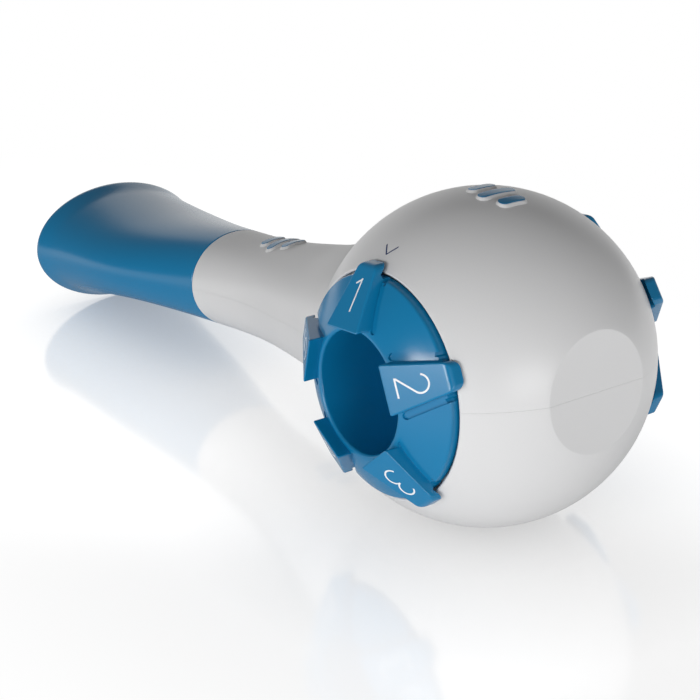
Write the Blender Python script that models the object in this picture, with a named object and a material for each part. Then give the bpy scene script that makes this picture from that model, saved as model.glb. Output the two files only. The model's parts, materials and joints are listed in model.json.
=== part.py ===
"""Breathing trainer: a ball-shaped body on an oval neck, with a dial of graded resistances on each side.

Metres, +Z up. The device lies on its underside, as it does on a table: on the ball and on the edge of the
mouthpiece. The pieces are modelled along their own straight axis, with the ball's centre at the origin, the
mouthpiece towards -X and the outflow port towards -Y. One empty then tips the whole to its resting angle and
brings the middle of its footprint to the origin.
"""

import math

import bmesh
import bpy
from mathutils import Matrix, Vector

MM = 0.001

# Ball and its walls
BALL_RADIUS = 28.5 * MM
WALL = 2.0 * MM
END_FLAT_RADIUS = 9.9 * MM
SEAM_GAP = 0.3 * MM
ROOT_FILLET = 2.5 * MM

# Neck and mouthpiece: lengths along the axis, then half widths and half heights of the oval
NECK_LENGTH = 77.0 * MM
MOUTHPIECE_LENGTH = 55.0 * MM
SHOULDER_FROM_BALL = 42.0 * MM
WAIST_FROM_JOINT = 17.0 * MM
THROAT_FROM_LIP = 28.0 * MM
FLARE_FROM_LIP = 6.6 * MM
ROOT_HALF_WIDTH, ROOT_HALF_HEIGHT = 14.5 * MM, 14.7 * MM
SHOULDER_HALF_WIDTH, SHOULDER_HALF_HEIGHT = 12.3 * MM, 12.3 * MM
WAIST_HALF_WIDTH, WAIST_HALF_HEIGHT = 10.2 * MM, 10.4 * MM
JOINT_HALF_WIDTH, JOINT_HALF_HEIGHT = 11.5 * MM, 9.9 * MM
THROAT_HALF_WIDTH, THROAT_HALF_HEIGHT = 16.9 * MM, 9.5 * MM
FLARE_HALF_WIDTH, FLARE_HALF_HEIGHT = 19.2 * MM, 11.5 * MM
LIP_HALF_WIDTH, LIP_HALF_HEIGHT = 20.4 * MM, 13.2 * MM

# Push fit of the mouthpiece on the spigot
SPIGOT_LENGTH = 12.0 * MM
SPIGOT_WALL = 1.6 * MM
SOCKET_WALL = 1.7 * MM
MOUTHPIECE_WALL = 1.6 * MM
LIP_ROUND = 0.5 * MM
FIT = 0.3 * MM

# Dials: heights are measured out from the ball's centre along the port's axis
DIAL_RIM_RADIUS = 18.4 * MM
DIAL_RIM_PROUD = 0.78 * MM
DIAL_FACE_RADIUS = 31.0 * MM
DIAL_BORE_RADIUS = 10.2 * MM
DIAL_TUBE_WALL = 1.4 * MM
DIAL_CAP_WALL = 1.6 * MM
DIAL_RIM_DEPTH = 1.8 * MM
DIAL_FLOOR_HEIGHT = 9.0 * MM
DIAL_FLOOR_THICKNESS = 1.4 * MM
DIAL_EDGE_ROUND = 0.4 * MM
RIM_CLEARANCE = 0.4 * MM
RUNNING_CLEARANCE = 0.4 * MM
EXHALE_SETTINGS = 5
INHALE_SETTINGS = 6

# Raised finger tabs on the dials. Their rises are over the dial's rim
TAB_INSET = 0.6 * MM
TAB_INNER_RISE = 6.6 * MM
TAB_OUTER_RISE = 1.0 * MM
TAB_REACH = 20.4 * MM
TAB_INNER_HALF_WIDTH = 4.05 * MM
TAB_OUTER_HALF_WIDTH = 2.2 * MM
TAB_NOSE_ROUND = 0.7 * MM
TAB_BALL_CLEARANCE = 0.5 * MM
INHALE_TAB_EXTRA_HEIGHT = 0.4 * MM

# Graded holes in the dial's floor and the one window under them
HOLE_CIRCLE_RADIUS = 5.6 * MM
LARGEST_HOLE_RADIUS = 2.5 * MM
SMALLEST_HOLE_RADIUS = 0.9 * MM
WINDOW_RADIUS = 2.8 * MM

# Fixed cup that carries the dial
CUP_WALL = 1.2 * MM
CUP_FLOOR_THICKNESS = 1.4 * MM
CUP_INNER_END_HEIGHT = 2.1 * MM
CUP_LIP_WIDTH = 0.8 * MM
CUP_LIP_THICKNESS = 0.7 * MM
RIM_GAP_OVER_LEDGE = 0.9 * MM
FLANGE_THICKNESS = 1.4 * MM
FLANGE_CLEARANCE = 0.8 * MM
RIB_THICKNESS = 1.2 * MM
RIB_GRIP = 1.3 * MM
SNAP_BEAD = 0.55 * MM
SNAP_BEAD_DEPTH = 1.0 * MM
SKIRT_WALL = 1.2 * MM
SKIRT_GAP_OVER_FLANGE = 1.2 * MM

# Seal ring in the dial's tube, click spring under the dial's skirt
SEAL_THICKNESS = 0.84 * MM
SEAL_HEIGHT = 14.0 * MM
SEAL_CLEARANCE = 0.13 * MM
SPRING_LENGTH = 9.0 * MM
SPRING_WIDTH = 1.5 * MM
SPRING_THICKNESS = 0.25 * MM
NOTCH_HALF_WIDTH = 1.3 * MM
NOTCH_DEPTH = 0.6 * MM
DETENT_TURN = math.radians(-90.0)

# One-way valves
VALVE_RADIUS = 8.6 * MM
VALVE_THICKNESS = 0.8 * MM
VALVE_LIFT = 1.5 * MM
STEM_RADIUS = 1.0 * MM
STEM_LENGTH = 2.6 * MM
GRID_THICKNESS = 1.2 * MM
HUB_WALL = 1.3 * MM
SEAT_OVERLAP = 1.0 * MM
CAGE_RIM_WALL = 1.3 * MM
SPOKE_WIDTH = 1.6 * MM
SPOKE_COUNT = 4

# Grip bars: short, long, short, each with a coloured cap. The sets are placed by their middle bar
GRIP_RISE = 0.2 * MM
GRIP_CAP_THICKNESS = 0.2 * MM
GRIP_CAP_GAP = 0.1 * MM
GRIP_HALF_WIDTH = 1.0 * MM
GRIP_ROOT = 1.0 * MM
GRIP_PITCH = 3.6 * MM
GRIP_HALF_LENGTHS = (2.6 * MM, 3.7 * MM, 2.6 * MM)
BALL_GRIPS_PLACE = (4.5 * MM, 0.0)
TOP_NECK_GRIPS_PLACE = (-58.4 * MM, -0.8 * MM)
BOTTOM_NECK_GRIPS_PLACE = (-43.6 * MM, 0.0)

# Fineness of the facets
SHELL_SEGMENTS = 36
INSIDE_SEGMENTS = 24
PORT_SEGMENTS = 32
BALL_STATIONS = 15
INSIDE_STATIONS = 9
FACE_STATIONS = 3

# Values that follow from the ones above
LIP_X = -(NECK_LENGTH + MOUTHPIECE_LENGTH)
JOINT_X = -NECK_LENGTH
SPIGOT_END_X = JOINT_X - SPIGOT_LENGTH
INNER_RADIUS = BALL_RADIUS - WALL
END_FLAT_X = math.sqrt(BALL_RADIUS**2 - END_FLAT_RADIUS**2)
SPIGOT_HALF_WIDTH = JOINT_HALF_WIDTH - SOCKET_WALL - FIT
SPIGOT_HALF_HEIGHT = min(JOINT_HALF_HEIGHT, THROAT_HALF_HEIGHT) - SOCKET_WALL - FIT
OPENING_RADIUS = DIAL_RIM_RADIUS + RIM_CLEARANCE
DIAL_RIM_HEIGHT = math.sqrt(BALL_RADIUS**2 - OPENING_RADIUS**2) + DIAL_RIM_PROUD
TAB_INNER_HEIGHT = DIAL_RIM_HEIGHT + TAB_INNER_RISE
TAB_OUTER_HEIGHT = DIAL_RIM_HEIGHT + TAB_OUTER_RISE
LEDGE_TOP = DIAL_RIM_HEIGHT - DIAL_RIM_DEPTH - RIM_GAP_OVER_LEDGE
LEDGE_BOTTOM = LEDGE_TOP - RIB_THICKNESS
FLANGE_TOP_HEIGHT = LEDGE_BOTTOM - FIT
TUBE_RADIUS = DIAL_BORE_RADIUS + DIAL_TUBE_WALL
CUP_BORE_RADIUS = TUBE_RADIUS + RUNNING_CLEARANCE
CUP_RADIUS = CUP_BORE_RADIUS + CUP_WALL
BEAD_RADIUS = CUP_RADIUS + SNAP_BEAD
SKIRT_BORE_RADIUS = BEAD_RADIUS + RUNNING_CLEARANCE
SKIRT_RADIUS = SKIRT_BORE_RADIUS + SKIRT_WALL
SKIRT_END_HEIGHT = FLANGE_TOP_HEIGHT + SKIRT_GAP_OVER_FLANGE
BEAD_HEIGHT = SKIRT_END_HEIGHT + SNAP_BEAD_DEPTH + RUNNING_CLEARANCE
CUP_RIM_HEIGHT = BEAD_HEIGHT + SNAP_BEAD_DEPTH
CUP_FLOOR_TOP = DIAL_FLOOR_HEIGHT - RUNNING_CLEARANCE
CUP_FLOOR_BOTTOM = CUP_FLOOR_TOP - CUP_FLOOR_THICKNESS
FLANGE_RADIUS = math.sqrt(INNER_RADIUS**2 - FLANGE_TOP_HEIGHT**2) - FLANGE_CLEARANCE
RIB_TOP = FLANGE_TOP_HEIGHT - FLANGE_THICKNESS - FIT
RIB_BORE_RADIUS = FLANGE_RADIUS - RIB_GRIP
GRID_TOP = CUP_FLOOR_BOTTOM - VALVE_THICKNESS - VALVE_LIFT - 2 * FIT
GRID_RADIUS = CUP_BORE_RADIUS - FIT


def clear_scene():
    for obj in list(bpy.data.objects):
        bpy.data.objects.remove(obj)


def make_material(name, colour, roughness, metallic=0.0):
    material = bpy.data.materials.new(name)
    material.use_nodes = True
    shader = material.node_tree.nodes["Principled BSDF"]
    shader.inputs["Base Color"].default_value = (*colour, 1.0)
    shader.inputs["Roughness"].default_value = roughness
    shader.inputs["Metallic"].default_value = metallic
    material.diffuse_color = (*colour, 1.0)
    return material


def make_empty(name, parent=None):
    empty = bpy.data.objects.new(name, None)
    bpy.context.collection.objects.link(empty)
    empty.parent = parent
    return empty


def object_from(name, bm, parent=None, material=None):
    """Closes the mesh's seams, turns its faces outwards and links it as a smooth-shaded object."""
    bmesh.ops.remove_doubles(bm, verts=bm.verts, dist=1e-7)
    bmesh.ops.recalc_face_normals(bm, faces=bm.faces)
    if bm.calc_volume(signed=True) < 0.0:
        bmesh.ops.reverse_faces(bm, faces=bm.faces)
    mesh = bpy.data.meshes.new(name)
    bm.to_mesh(mesh)
    bm.free()
    mesh.shade_smooth()
    mesh.set_sharp_from_angle(angle=math.radians(35))
    obj = bpy.data.objects.new(name, mesh)
    bpy.context.collection.objects.link(obj)
    obj.parent = parent
    if material:
        mesh.materials.append(material)
    return obj


def combine(target, tools, operation):
    """Joins, cuts or intersects target with each tool, and uses the tools up."""
    for tool in tools:
        modifier = target.modifiers.new(tool.name, "BOOLEAN")
        modifier.operation = operation
        modifier.solver = "EXACT"
        modifier.object = tool
    bpy.context.view_layer.update()
    graph = bpy.context.evaluated_depsgraph_get()
    mesh = bpy.data.meshes.new_from_object(target.evaluated_get(graph))
    target.modifiers.clear()
    target.data = mesh
    mesh.set_sharp_from_angle(angle=math.radians(35))
    for tool in tools:
        bpy.data.objects.remove(tool)
    return target


def put_below(obj):
    """Mirrors a piece from the upper side to the underside."""
    obj.data.transform(Matrix.Scale(-1, 4, (0, 0, 1)))
    obj.data.flip_normals()
    return obj


def copy_of(name, source):
    obj = bpy.data.objects.new(name, source.data.copy())
    bpy.context.collection.objects.link(obj)
    return obj


def skin(bm, rings):
    """Closes a body over rings of points that follow each other: a face per side, and one over each end."""
    loops = [[bm.verts.new(point) for point in ring] for ring in rings]
    for near, far in zip(loops, loops[1:]):
        for k in range(len(near)):
            bm.faces.new((near[k - 1], near[k], far[k], far[k - 1]))
    bm.faces.new(loops[0])
    bm.faces.new(loops[-1])


def loft(name, sections, count, parent=None, material=None):
    """A closed body through oval sections, each (x, half width, half height). No edge runs at mid height."""
    turns = [math.tau * (k + 0.5) / count for k in range(count)]
    bm = bmesh.new()
    skin(bm, [[(x, width * math.cos(t), height * math.sin(t)) for t in turns] for x, width, height in sections])
    return object_from(name, bm, parent, material)


def turned(name, profile, count=PORT_SEGMENTS, parent=None, material=None):
    """Spins a profile of (radius, height) points about Z. One that starts and ends on the axis stays open."""
    bm = bmesh.new()
    verts = [bm.verts.new((radius, 0.0, height)) for radius, height in profile]
    edges = [bm.edges.new(pair) for pair in zip(verts, verts[1:])]
    if profile[0][0] > 0.0:
        edges.append(bm.edges.new((verts[-1], verts[0])))
    bmesh.ops.spin(
        bm, geom=verts + edges, cent=(0, 0, 0), axis=(0, 0, 1), angle=math.tau, steps=count, use_merge=True
    )
    return object_from(name, bm, parent, material)


def prism(name, outline, extrusion, parent=None, material=None):
    """Extrudes a flat outline of 3-D points along a vector."""
    bm = bmesh.new()
    face = bm.faces.new([bm.verts.new(point) for point in outline])
    swept = bmesh.ops.extrude_face_region(bm, geom=[face])
    moved = [item for item in swept["geom"] if isinstance(item, bmesh.types.BMVert)]
    bmesh.ops.translate(bm, verts=moved, vec=extrusion)
    return object_from(name, bm, parent, material)


def box(name, low, high):
    outline = [(low[0], low[1], low[2]), (high[0], low[1], low[2]), (high[0], high[1], low[2]), (low[0], high[1], low[2])]
    return prism(name, outline, (0, 0, high[2] - low[2]))


def post(name, radius, low, high, centre=(0.0, 0.0), count=INSIDE_SEGMENTS):
    """A plain round cutter along Z."""
    bm = bmesh.new()
    place = Matrix.Translation((centre[0], centre[1], (low + high) / 2))
    bmesh.ops.create_cone(
        bm, cap_ends=True, segments=count, radius1=radius, radius2=radius, depth=high - low, matrix=place
    )
    return object_from(name, bm)


def smooth_step_between(stations, x):
    """Half width and half height at x, on a smooth curve through stations of (x, half width, half height)."""
    last = len(stations) - 1
    k = next((i for i in range(last) if x <= stations[i + 1][0]), last - 1)
    x0, x1 = stations[k][0], stations[k + 1][0]
    u = (x - x0) / (x1 - x0)
    result = []
    for axis in (1, 2):
        y0, y1 = stations[k][axis], stations[k + 1][axis]
        slopes = []
        for i in (k, k + 1):
            low, high = stations[max(i - 1, 0)], stations[min(i + 1, last)]
            slopes.append((high[axis] - low[axis]) / (high[0] - low[0]) * (x1 - x0))
        rise = 3 * (y1 - y0) - 2 * slopes[0] - slopes[1]
        bend = 2 * (y0 - y1) + slopes[0] + slopes[1]
        result.append(y0 + slopes[0] * u + rise * u**2 + bend * u**3)
    return result


def oval_at(x):
    """Outside of the mouthpiece and neck at x."""
    stations = [
        (LIP_X, LIP_HALF_WIDTH, LIP_HALF_HEIGHT),
        (LIP_X + FLARE_FROM_LIP, FLARE_HALF_WIDTH, FLARE_HALF_HEIGHT),
        (LIP_X + THROAT_FROM_LIP, THROAT_HALF_WIDTH, THROAT_HALF_HEIGHT),
        (JOINT_X, JOINT_HALF_WIDTH, JOINT_HALF_HEIGHT),
        (JOINT_X + WAIST_FROM_JOINT, WAIST_HALF_WIDTH, WAIST_HALF_HEIGHT),
        (-SHOULDER_FROM_BALL, SHOULDER_HALF_WIDTH, SHOULDER_HALF_HEIGHT),
        (-BALL_RADIUS, ROOT_HALF_WIDTH, ROOT_HALF_HEIGHT),
        (-BALL_RADIUS / 2, ROOT_HALF_WIDTH, ROOT_HALF_HEIGHT),
    ]
    return smooth_step_between(stations, x)


def blend(first, second):
    """The larger of two radii, with a fillet where they cross."""
    overlap = max(ROOT_FILLET - abs(first - second), 0.0) / ROOT_FILLET
    return max(first, second) + overlap**2 * ROOT_FILLET / 4


def body_section(x, ball_radius, wall):
    """Outside of the neck and ball at x, or their inside where a wall is given."""
    ball = math.sqrt(max(ball_radius**2 - x**2, 0.0))
    if x > -ball_radius / 2:
        return x, ball, ball
    half_width, half_height = oval_at(x)
    return x, blend(half_width - wall, ball), blend(half_height - wall, ball)


def ball_stations(radius, end_radius, count):
    """Stations from the neck's root to the flat end, evenly turned about the ball's centre."""
    first = math.acos(0.93)
    last = math.pi - math.asin(end_radius / radius)
    return [-radius * math.cos(first + (last - first) * k / count) for k in range(count + 1)]


def neck_stations(start, end, count):
    return [start + (end - start) * k / count for k in range(count)]


def outer_body():
    sections = [
        (SPIGOT_END_X, SPIGOT_HALF_WIDTH, SPIGOT_HALF_HEIGHT),
        (JOINT_X, SPIGOT_HALF_WIDTH, SPIGOT_HALF_HEIGHT),
    ]
    ball = ball_stations(BALL_RADIUS, END_FLAT_RADIUS, BALL_STATIONS)
    for x in neck_stations(JOINT_X, ball[0], 9) + ball:
        sections.append(body_section(x, BALL_RADIUS, 0.0))
    return loft("outer_body", sections, SHELL_SEGMENTS)


def cavity():
    """The airway through the neck and the hollow of the ball, without the ribs that hold the port cups.

    The ledges are a little thick here: the round openings trim them.
    """
    reach = 1.0 * MM
    spigot_bore = (SPIGOT_HALF_WIDTH - SPIGOT_WALL, SPIGOT_HALF_HEIGHT - SPIGOT_WALL)
    sections = [(SPIGOT_END_X - reach, *spigot_bore), (JOINT_X + WALL, *spigot_bore)]
    end_radius = math.sqrt(INNER_RADIUS**2 - (END_FLAT_X - WALL) ** 2)
    ball = ball_stations(INNER_RADIUS, end_radius, INSIDE_STATIONS)
    for x in neck_stations(JOINT_X + WAIST_FROM_JOINT, ball[0], 4) + ball:
        sections.append(body_section(x, INNER_RADIUS, WALL))
    space = loft("cavity", sections, INSIDE_SEGMENTS)
    far = BALL_RADIUS
    rings = []
    for side, turn in PORT_TURNS.items():
        for label, bore, low, high in (
            ("ledge", OPENING_RADIUS - RIB_GRIP, LEDGE_BOTTOM, LEDGE_TOP + FIT),
            ("rib", RIB_BORE_RADIUS, RIB_TOP - RIB_THICKNESS, RIB_TOP),
        ):
            ring = turned(f"{side}_{label}", [(bore, low), (far, low), (far, high), (bore, high)], INSIDE_SEGMENTS)
            ring.matrix_world = turn
            rings.append(ring)
    return combine(space, rings, "DIFFERENCE")


def grip_bar(name, surface, place, half_length, low, high, parent=None, material=None):
    """A bar with round ends across the axis. It follows the surface at heights low to high over it."""
    x, middle = place
    straight = half_length - GRIP_HALF_WIDTH
    ends = [math.radians(angle) for angle in (-80, -45, 0)]
    widths = [(-straight + GRIP_HALF_WIDTH * math.sin(a), GRIP_HALF_WIDTH * math.cos(a)) for a in ends]
    widths += [(0.0, GRIP_HALF_WIDTH)] + [(-y, w) for y, w in reversed(widths)]
    rings = []
    for y, w in widths:
        corners = ((-w, low), (w, low), (w, high), (-w, high))
        rings.append([(x + dx, middle + y, surface(x + dx, middle + y) + rise) for dx, rise in corners])
    bm = bmesh.new()
    skin(bm, rings)
    return object_from(name, bm, parent, material)


def ball_surface(x, y):
    return math.sqrt(BALL_RADIUS**2 - x**2 - y**2)


def neck_surface(x, y):
    half_width, half_height = oval_at(x)
    return half_height * math.sqrt(1.0 - (y / half_width) ** 2)


def grip_places(side):
    """Name, surface, place and half length of each bar on one shell. The ball has them on its upper side only."""
    sets = {"lower": [("neck_grip_bottom", neck_surface, BOTTOM_NECK_GRIPS_PLACE)]}
    sets["upper"] = [
        ("ball_grip", ball_surface, BALL_GRIPS_PLACE),
        ("neck_grip_top", neck_surface, TOP_NECK_GRIPS_PLACE),
    ]
    places = []
    for name, surface, (x, y) in sets[side]:
        for k, half_length in enumerate(GRIP_HALF_LENGTHS):
            places.append((f"{name}_{k + 1}", surface, (x + GRIP_PITCH * (k - 1), y), half_length))
    return places


def make_shells(stand, white):
    body = combine(outer_body(), [cavity()], "DIFFERENCE")
    openings = []
    for side, turn in PORT_TURNS.items():
        opening = post(f"{side}_opening", OPENING_RADIUS, LEDGE_TOP, BALL_RADIUS * 1.2, count=SHELL_SEGMENTS)
        opening.matrix_world = turn
        openings.append(opening)
    combine(body, openings, "DIFFERENCE")
    far = NECK_LENGTH + BALL_RADIUS * 2
    for side in ("upper", "lower"):
        shell = copy_of(f"{side}_shell", body)
        tools = [box("half", (-far, -far, SEAM_GAP / 2), (far, far, far))]
        for name, surface, place, half_length in grip_places(side):
            tools.append(grip_bar(f"{name}_root", surface, place, half_length, -GRIP_ROOT, GRIP_RISE))
        if side == "lower":
            tools = [put_below(tool) for tool in tools]
        combine(shell, tools[:1], "INTERSECT")
        combine(shell, tools[1:], "UNION")
        shell.data.materials.clear()
        shell.data.materials.append(white)
        shell.parent = stand
    bpy.data.objects.remove(body)


def make_grip_caps(stand, blue):
    low = GRIP_RISE + GRIP_CAP_GAP
    high = low + GRIP_CAP_THICKNESS
    for side in ("upper", "lower"):
        for name, surface, place, half_length in grip_places(side):
            cap = grip_bar(name, surface, place, half_length, low, high, stand, blue)
            if side == "lower":
                put_below(cap)


def make_mouthpiece(stand, blue):
    start = JOINT_X - FIT
    outside = [(x, *oval_at(x)) for x in neck_stations(start, LIP_X + FLARE_FROM_LIP, 7)]
    outside += [(x, *oval_at(x)) for x in neck_stations(LIP_X + FLARE_FROM_LIP, LIP_X + LIP_ROUND, 3)]
    lip_width, lip_height = oval_at(LIP_X + LIP_ROUND)
    outside.append((LIP_X + LIP_ROUND, lip_width, lip_height))
    outside.append((LIP_X, lip_width - LIP_ROUND, lip_height - LIP_ROUND))
    piece = loft("mouthpiece", outside, SHELL_SEGMENTS, stand, blue)

    reach = 1.0 * MM
    socket = (SPIGOT_HALF_WIDTH + FIT, SPIGOT_HALF_HEIGHT + FIT)
    socket_end = SPIGOT_END_X - FIT
    inside = [(JOINT_X + reach, *socket), (socket_end, *socket)]
    airway_start = socket_end - SOCKET_WALL
    for x in neck_stations(airway_start, LIP_X, 6) + [LIP_X]:
        half_width, half_height = oval_at(x)
        inside.append((x, half_width - MOUTHPIECE_WALL, half_height - MOUTHPIECE_WALL))
    inside.append((LIP_X - reach, inside[-1][1], inside[-1][2]))
    return combine(piece, [loft("airway", inside, INSIDE_SEGMENTS)], "DIFFERENCE")


def face_height(radius, drop=0.0):
    """Height of the dial's domed face at a radius, or of the underside of its wall where drop is given."""
    centre = DIAL_RIM_HEIGHT - math.sqrt(DIAL_FACE_RADIUS**2 - DIAL_RIM_RADIUS**2)
    return centre + math.sqrt((DIAL_FACE_RADIUS - drop) ** 2 - radius**2)


def dome(start, end, count, drop=0.0):
    radii = [start + (end - start) * k / count for k in range(count + 1)]
    return [(radius, face_height(radius, drop)) for radius in radii]


def dial_profile():
    floor_top = DIAL_FLOOR_HEIGHT + DIAL_FLOOR_THICKNESS
    rim_end = DIAL_RIM_HEIGHT - DIAL_RIM_DEPTH
    groove_radius = CUP_BORE_RADIUS - SEAL_THICKNESS - 2 * SEAL_CLEARANCE
    groove = SEAL_THICKNESS / 2 + SEAL_CLEARANCE
    snap_radius = CUP_RADIUS + RUNNING_CLEARANCE / 2
    snap_top = SKIRT_END_HEIGHT + SNAP_BEAD_DEPTH
    profile = [(0.0, floor_top), (DIAL_BORE_RADIUS, floor_top)]
    profile.append((DIAL_BORE_RADIUS, face_height(DIAL_BORE_RADIUS) - DIAL_EDGE_ROUND))
    profile += dome(DIAL_BORE_RADIUS + DIAL_EDGE_ROUND, DIAL_RIM_RADIUS - DIAL_EDGE_ROUND, FACE_STATIONS)
    profile += [(DIAL_RIM_RADIUS, DIAL_RIM_HEIGHT - DIAL_EDGE_ROUND), (DIAL_RIM_RADIUS, rim_end)]
    profile.append((DIAL_RIM_RADIUS - DIAL_CAP_WALL, rim_end))
    profile += dome(DIAL_RIM_RADIUS - DIAL_CAP_WALL, SKIRT_RADIUS, 1, DIAL_CAP_WALL)
    profile += [(SKIRT_RADIUS, SKIRT_END_HEIGHT), (snap_radius, SKIRT_END_HEIGHT), (snap_radius, snap_top)]
    profile.append((SKIRT_BORE_RADIUS, snap_top))
    profile += dome(SKIRT_BORE_RADIUS, TUBE_RADIUS, 1, DIAL_CAP_WALL)
    profile += [(TUBE_RADIUS, SEAL_HEIGHT + groove), (groove_radius, SEAL_HEIGHT + groove)]
    profile += [(groove_radius, SEAL_HEIGHT - groove), (TUBE_RADIUS, SEAL_HEIGHT - groove)]
    profile += [(TUBE_RADIUS, DIAL_FLOOR_HEIGHT), (0.0, DIAL_FLOOR_HEIGHT)]
    return profile


def tab(name, turn, extra_height):
    """One finger tab: it stands on the dial's face from the bore's edge and hangs over the ball past the rim."""
    inner = DIAL_BORE_RADIUS + TAB_INSET
    ball = BALL_RADIUS + TAB_BALL_CLEARANCE
    gap_edge = OPENING_RADIUS
    root = DIAL_CAP_WALL / 2
    side_view = [
        (inner, face_height(inner) - root),
        (inner, TAB_INNER_HEIGHT + extra_height),
        (TAB_REACH - TAB_NOSE_ROUND, TAB_OUTER_HEIGHT + extra_height),
        (TAB_REACH, TAB_OUTER_HEIGHT + extra_height - TAB_NOSE_ROUND),
        (TAB_REACH, math.sqrt(ball**2 - TAB_REACH**2)),
        (gap_edge, math.sqrt(ball**2 - gap_edge**2)),
        (DIAL_RIM_RADIUS - root, DIAL_RIM_HEIGHT - root),
    ]
    slope = (TAB_OUTER_HALF_WIDTH - TAB_INNER_HALF_WIDTH) / (TAB_REACH - inner)
    sides = []
    for side in (-1, 1):
        widths = [side * (TAB_INNER_HALF_WIDTH + slope * (radius - inner)) for radius, _ in side_view]
        sides.append([(width, radius, height) for width, (radius, height) in zip(widths, side_view)])
    bm = bmesh.new()
    skin(bm, sides)
    bmesh.ops.rotate(bm, verts=bm.verts, cent=(0, 0, 0), matrix=Matrix.Rotation(-turn, 3, "Z"))
    return object_from(name, bm)


def make_dial(side, settings, extra_height, port, blue):
    """The dial with its tabs, its graded holes and the notches under its skirt. Setting 1 is at the top."""
    dial = turned(f"{side}_dial", dial_profile(), PORT_SEGMENTS, port, blue)
    pitch = math.tau / settings
    tabs, cutters = [], []
    for k in range(settings):
        turn = pitch * k
        tabs.append(tab(f"tab_{k}", turn, extra_height))
        size = LARGEST_HOLE_RADIUS + (SMALLEST_HOLE_RADIUS - LARGEST_HOLE_RADIUS) * k / (settings - 1)
        centre = (HOLE_CIRCLE_RADIUS * math.sin(turn), HOLE_CIRCLE_RADIUS * math.cos(turn))
        top = DIAL_FLOOR_HEIGHT + DIAL_FLOOR_THICKNESS * 2
        cutters.append(post(f"hole_{k}", size, DIAL_FLOOR_HEIGHT - DIAL_FLOOR_THICKNESS, top, centre, 12))
        notch = box(
            f"notch_{k}",
            (-NOTCH_HALF_WIDTH, CUP_RADIUS, SKIRT_END_HEIGHT - NOTCH_DEPTH),
            (NOTCH_HALF_WIDTH, SKIRT_RADIUS + FIT, SKIRT_END_HEIGHT + NOTCH_DEPTH),
        )
        notch.matrix_world = Matrix.Rotation(-turn + DETENT_TURN, 4, "Z")
        cutters.append(notch)
    for piece in tabs + cutters:
        piece.matrix_world = port.matrix_world @ piece.matrix_world
    combine(dial, tabs, "UNION")
    return combine(dial, cutters, "DIFFERENCE")


def make_seal(side, port, rubber):
    radius = SEAL_THICKNESS / 2
    middle = CUP_BORE_RADIUS - SEAL_CLEARANCE - radius
    profile = []
    for k in range(6):
        angle = math.tau * k / 6
        profile.append((middle + radius * math.cos(angle), SEAL_HEIGHT + radius * math.sin(angle)))
    return turned(f"{side}_dial_seal", profile, INSIDE_SEGMENTS, port, rubber)


def make_cup(side, port, white):
    """The cup held between the shells. Its tube carries the dial, its floor holds the window under the holes."""
    lip_bore = CUP_BORE_RADIUS - CUP_LIP_WIDTH
    lip_top = CUP_INNER_END_HEIGHT + CUP_LIP_THICKNESS
    flange_bottom = FLANGE_TOP_HEIGHT - FLANGE_THICKNESS
    profile = [
        (0.0, CUP_FLOOR_BOTTOM),
        (CUP_BORE_RADIUS, CUP_FLOOR_BOTTOM),
        (CUP_BORE_RADIUS, lip_top),
        (lip_bore, lip_top),
        (lip_bore, CUP_INNER_END_HEIGHT),
        (CUP_RADIUS, CUP_INNER_END_HEIGHT),
        (CUP_RADIUS, flange_bottom),
        (FLANGE_RADIUS, flange_bottom),
        (FLANGE_RADIUS, FLANGE_TOP_HEIGHT),
        (CUP_RADIUS, FLANGE_TOP_HEIGHT),
        (CUP_RADIUS, BEAD_HEIGHT),
        (BEAD_RADIUS, BEAD_HEIGHT + SNAP_BEAD_DEPTH / 4),
        (CUP_RADIUS, CUP_RIM_HEIGHT),
        (CUP_BORE_RADIUS, CUP_RIM_HEIGHT),
        (CUP_BORE_RADIUS, CUP_FLOOR_TOP),
        (0.0, CUP_FLOOR_TOP),
    ]
    cup = turned(f"{side}_port_cup", profile, PORT_SEGMENTS, port, white)
    low, high = CUP_FLOOR_BOTTOM - CUP_FLOOR_THICKNESS, CUP_FLOOR_TOP + CUP_FLOOR_THICKNESS
    window = post("window", WINDOW_RADIUS, low, high, (0.0, HOLE_CIRCLE_RADIUS), 16)
    window.matrix_world = port.matrix_world
    return combine(cup, [window], "DIFFERENCE")


def make_click_spring(side, port, steel):
    """A bowed leaf on the cup's flange. Its crest stands just under the dial's skirt, in line with a notch."""
    foot = FLANGE_TOP_HEIGHT + FIT / 2
    crest = SKIRT_END_HEIGHT - FIT - SPRING_THICKNESS
    half = SPRING_LENGTH / 2
    rail = [(-half, foot), (-half * 0.7, foot), (-half * 0.2, crest), (half * 0.2, crest), (half * 0.7, foot), (half, foot)]
    outline = rail + [(s, height + SPRING_THICKNESS) for s, height in reversed(rail)]
    middle = (CUP_RADIUS + SKIRT_RADIUS) / 2
    points = [Vector((s, middle - SPRING_WIDTH / 2, height)) for s, height in outline]
    leaf = prism(f"{side}_click_spring", points, (0, SPRING_WIDTH, 0), port, steel)
    leaf.data.transform(Matrix.Rotation(DETENT_TURN, 4, "Z"))
    return leaf


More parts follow.
